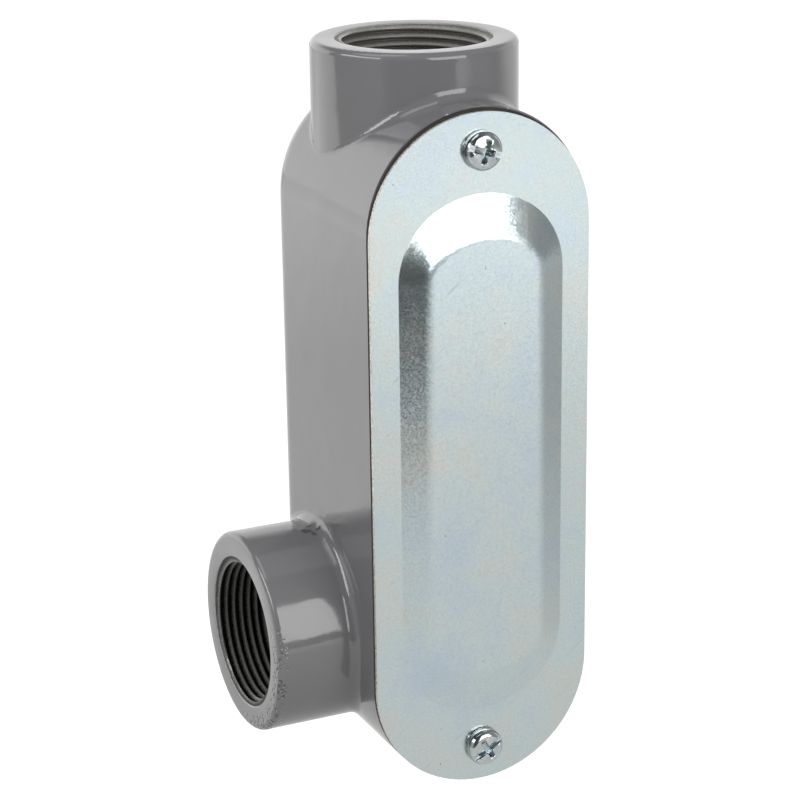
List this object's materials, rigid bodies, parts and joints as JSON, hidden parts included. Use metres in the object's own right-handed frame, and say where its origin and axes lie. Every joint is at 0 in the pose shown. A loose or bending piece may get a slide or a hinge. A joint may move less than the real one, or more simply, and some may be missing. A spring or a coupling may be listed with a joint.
{
  "type": "conduit body",
  "caption": "Angle conduit body: long round-ended housing with a threaded run hub on top, a threaded side hub near the foot and a pressed cover screwed down over a gasket.",
  "frame": {"origin": "centre of the run hub's mouth, on that hub's axis", "axes": "+Z out of the run hub, -Y out through the cover, -X out of the side hub; the wall side of the housing is +Y"},
  "size_m": [0.0856, 0.0715, 0.1981],
  "materials": {
    "enamelled_casting": "glossy grey enamel",
    "gasket_rubber": "matt black-brown sheet",
    "zinc_plated_sheet": "satin zinc plating with fine scratches",
    "zinc_plated_screw": "bright zinc plating"
  },
  "bodies": {
    "root": {"body_casting": "enamelled_casting", "cover_gasket": "gasket_rubber", "cover_plate": "zinc_plated_sheet", "upper_cover_screw": "zinc_plated_screw", "lower_cover_screw": "zinc_plated_screw"}
  },
  "joints": []
}
